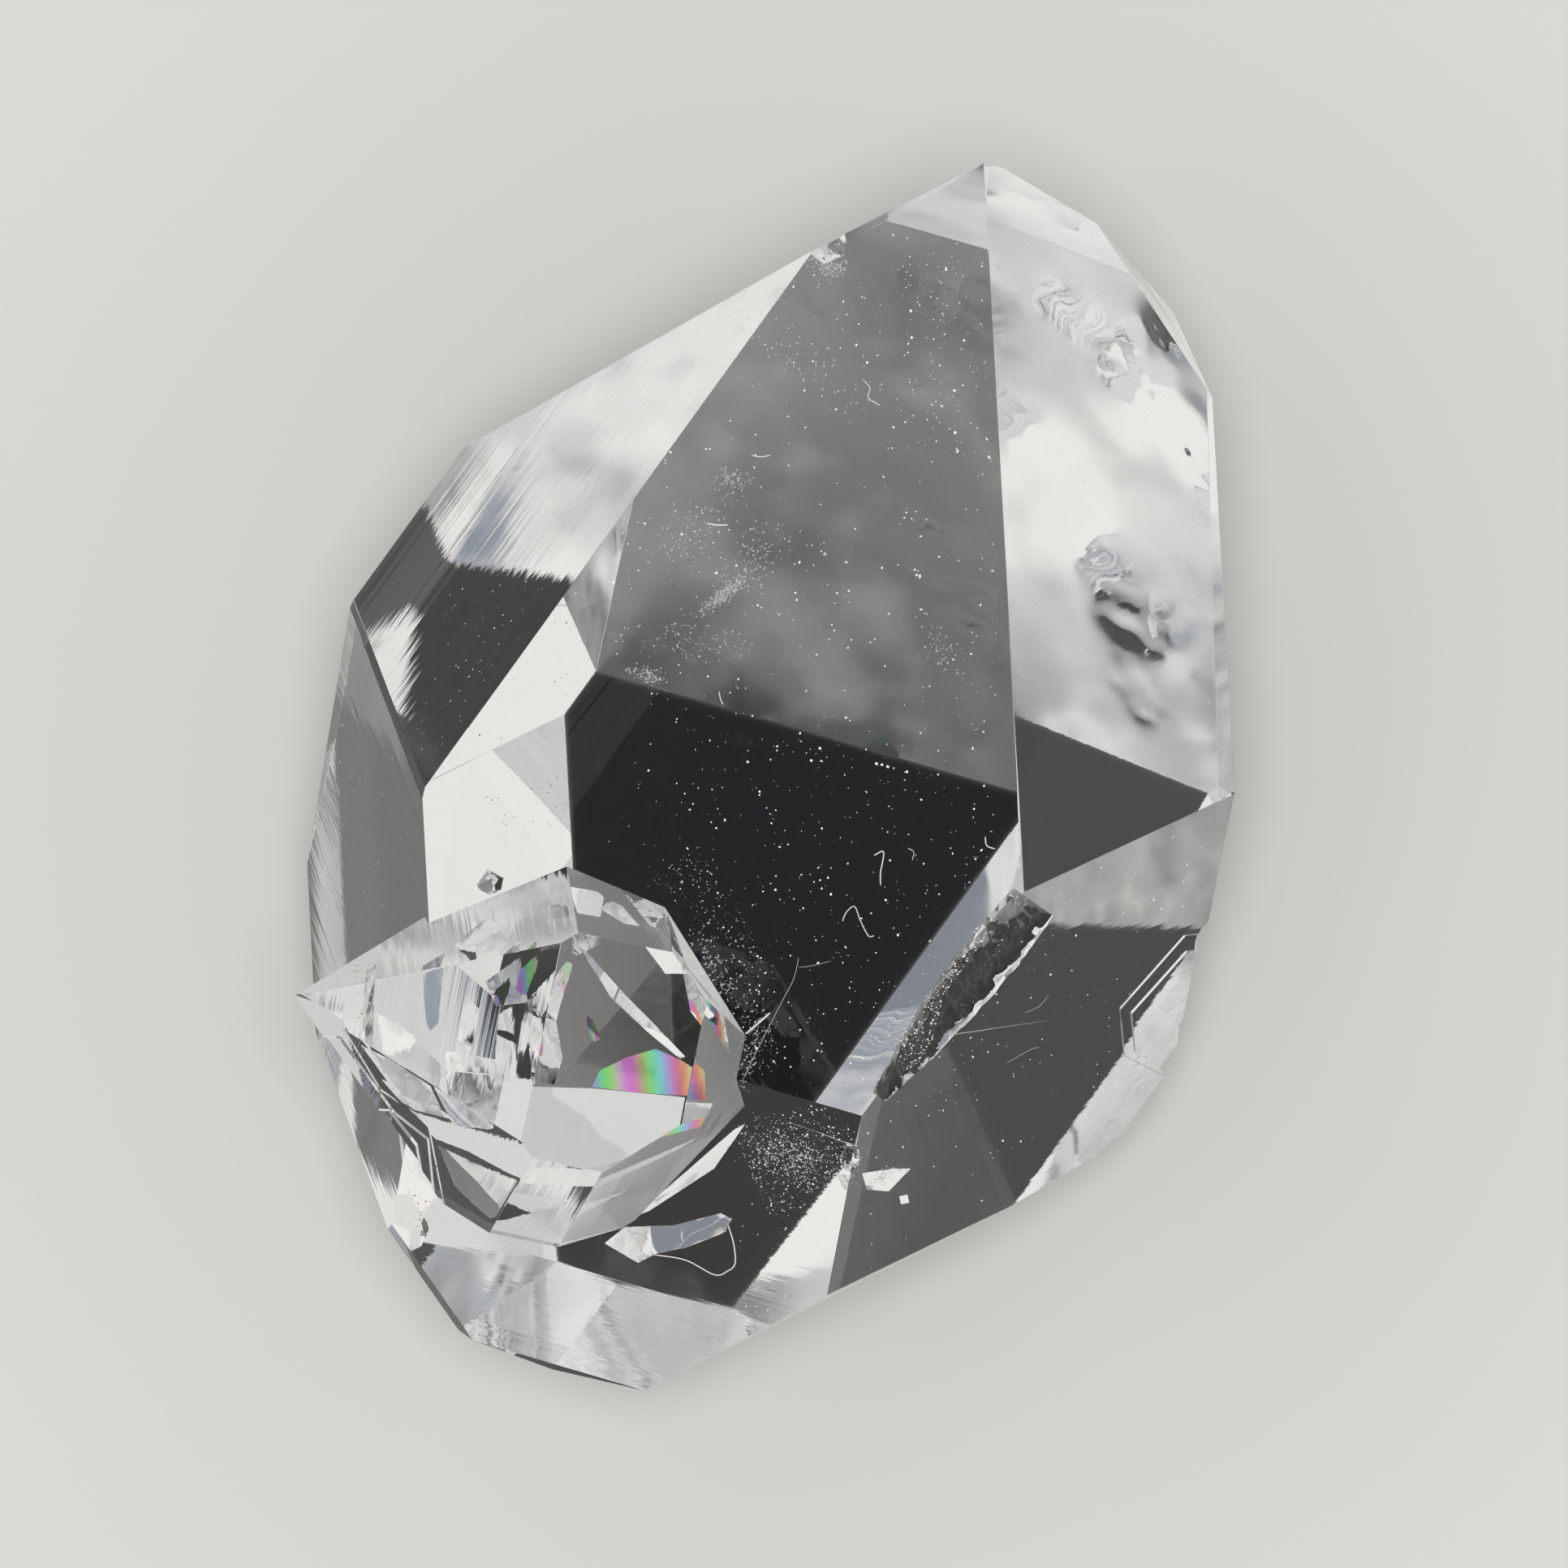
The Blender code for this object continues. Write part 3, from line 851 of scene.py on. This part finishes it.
def choose_lean(tree, middle, path, entries):
    """The direction square to a gap at the lean where it mirrors the most light."""
    found = []
    for heading in LEAN_HEADINGS:
        for tilt in LEAN_TILTS:
            light = mirrored_light(tree, middle, path, entries, leaning_plane(heading, tilt))
            if light is not None:
                found.append((round(light, 2), heading, tilt))
    _, heading, tilt = max(found)
    return leaning_plane(heading, tilt)


def add_gap(shape, tree, outline, depth, ripple):
    """Add a thin leaning gap in the quartz that shows within an outline."""
    middle, path, entries = gap_place(tree, outline, depth)
    normal = choose_lean(tree, middle, path, entries)
    sheet = bmesh.new()
    sheet.faces.new([sheet.verts.new(corner) for corner in gap_corners(middle, path, entries, normal)])
    bmesh.ops.triangulate(sheet, faces=sheet.faces[:])
    bmesh.ops.subdivide_edges(sheet, edges=sheet.edges[:], cuts=CRACK_CUTS, use_grid_fill=True)
    for vertex in sheet.verts:
        vertex.co += normal * ripple * MM * noise.noise(vertex.co / CRACK_GRAIN)
        for _ in range(PULL_STEPS):
            if in_quartz(tree, vertex.co, CRACK_MARGIN):
                break
            vertex.co = vertex.co.lerp(middle, 1 / PULL_STEPS)
    bmesh.ops.solidify(sheet, geom=sheet.faces[:], thickness=CRACK_GAP)
    bmesh.ops.recalc_face_normals(sheet, faces=sheet.faces[:])
    bmesh.ops.reverse_faces(sheet, faces=sheet.faces[:])
    mesh = bpy.data.meshes.new("gap")
    sheet.to_mesh(mesh)
    sheet.free()
    shape.from_mesh(mesh)
    bpy.data.meshes.remove(mesh)


def gap_material():
    """The wall of a gap or a bubble in the quartz. Walls face inwards, so they mirror as air does."""
    material, shader = new_material("gap_wall")
    shader.inputs["Base Color"].default_value = (1.0, 1.0, 1.0, 1.0)
    shader.inputs["IOR"].default_value = QUARTZ_INDEX
    shader.inputs["Transmission Weight"].default_value = 1.0
    shader.inputs["Roughness"].default_value = CRACK_ROUGHNESS
    return material


def make_cracks(tree, material):
    """Thin gaps in the quartz."""
    shape = bmesh.new()
    for outline, depth, ripple in CRACKS:
        add_gap(shape, tree, outline, depth, ripple)
    finish_piece("cracks", shape, material, smooth=True)


def make_veils(tree, material):
    """Clouds of tiny bubbles in the quartz, densest in their middles."""
    chance = random.Random("veils")
    shape = bmesh.new()
    ball = unit_ball()
    least, most = BUBBLE_RADIUS
    for (x, y), length, width, turn, depth, count in VEILS:
        middle = inside(tree, x, y, depth * MM)
        run = math.radians(turn)
        for _ in range(count):
            along = chance.gauss(0.0, VEIL_SPREAD) * length
            beside = chance.gauss(0.0, VEIL_SPREAD) * width
            across = along * math.cos(run) - beside * math.sin(run)
            down = along * math.sin(run) + beside * math.cos(run)
            offset = view_vector(across, down, chance.uniform(-0.5, 0.5) * VEIL_THICKNESS)
            radius = (least + (most - least) * chance.random() ** 2) * MM
            spot = middle + offset
            if in_quartz(tree, spot, 2 * radius):
                add_grain(shape, ball, spot, radius, chance, BUBBLE_UNEVENNESS)
    bmesh.ops.reverse_faces(shape, faces=shape.faces[:])
    finish_piece("veils", shape, material, smooth=True)


def film_material():
    """A mirror-like film whose colour follows the light's path through the gap."""
    material, shader = new_material("film")
    nodes = material.node_tree.nodes
    path = attribute_value(nodes, "light_path")
    colour = nodes.new("ShaderNodeCombineColor")
    for index, wavelength in enumerate(FILM_WAVELENGTHS):
        phase = math_node(material, "MULTIPLY", path, 2 * math.pi / wavelength)
        wave = math_node(material, "COSINE", phase, 0.0)
        level = math_node(material, "ADD", math_node(material, "MULTIPLY", wave, -FILM_SWING), FILM_MEAN)
        material.node_tree.links.new(level, colour.inputs[index])
    material.node_tree.links.new(colour.outputs[0], shader.inputs["Base Color"])
    shader.inputs["Metallic"].default_value = 1.0
    shader.inputs["Roughness"].default_value = FILM_ROUGHNESS
    return material


def make_films(tree):
    """Very thin cracks with bands of interference colours."""
    shape = bmesh.new()
    shape.verts.layers.float.new("light_path")
    for outline, depth, (first, last) in FILM_CRACKS:
        known = len(shape.verts)
        add_gap(shape, tree, outline, depth, 0.0)
        shape.verts.ensure_lookup_table()
        layer = shape.verts.layers.float["light_path"]
        places = [vertex.co.dot(CAMERA_RIGHT) for vertex in shape.verts[known:]]
        left = min(places)
        width = max(places) - left
        for vertex, place in zip(shape.verts[known:], places):
            vertex[layer] = first + (last - first) * (place - left) / width
    bmesh.ops.reverse_faces(shape, faces=shape.faces[:])
    finish_piece("films", shape, film_material())


crystal = make_crystal()
tree = surface_tree(crystal)
make_camera()
make_tent()
make_lamp()
make_floor()
make_grains(tree, "pale_grains", PALE_GRAINS, PALE_DUST)
make_grains(tree, "dark_grains", DARK_GRAINS, DARK_DUST)
make_grains(tree, "brown_grains", BROWN_GRAINS, BROWN_DUST)
make_lint(tree)
gap_wall = gap_material()
make_cracks(tree, gap_wall)
make_veils(tree, gap_wall)
make_films(tree)

# Enough bounces for light to find its way through the crystal. Light that it gathers into bright
# spots on the table is left out, as the table under it is dark in the photograph.
cycles = bpy.context.scene.cycles
cycles.max_bounces = LIGHT_TURNS
cycles.transmission_bounces = LIGHT_TURNS
cycles.glossy_bounces = LIGHT_TURNS
cycles.transparent_max_bounces = LIGHT_TURNS
cycles.caustics_refractive = False
cycles.caustics_reflective = False
bpy.context.scene.view_settings.view_transform = "Standard"
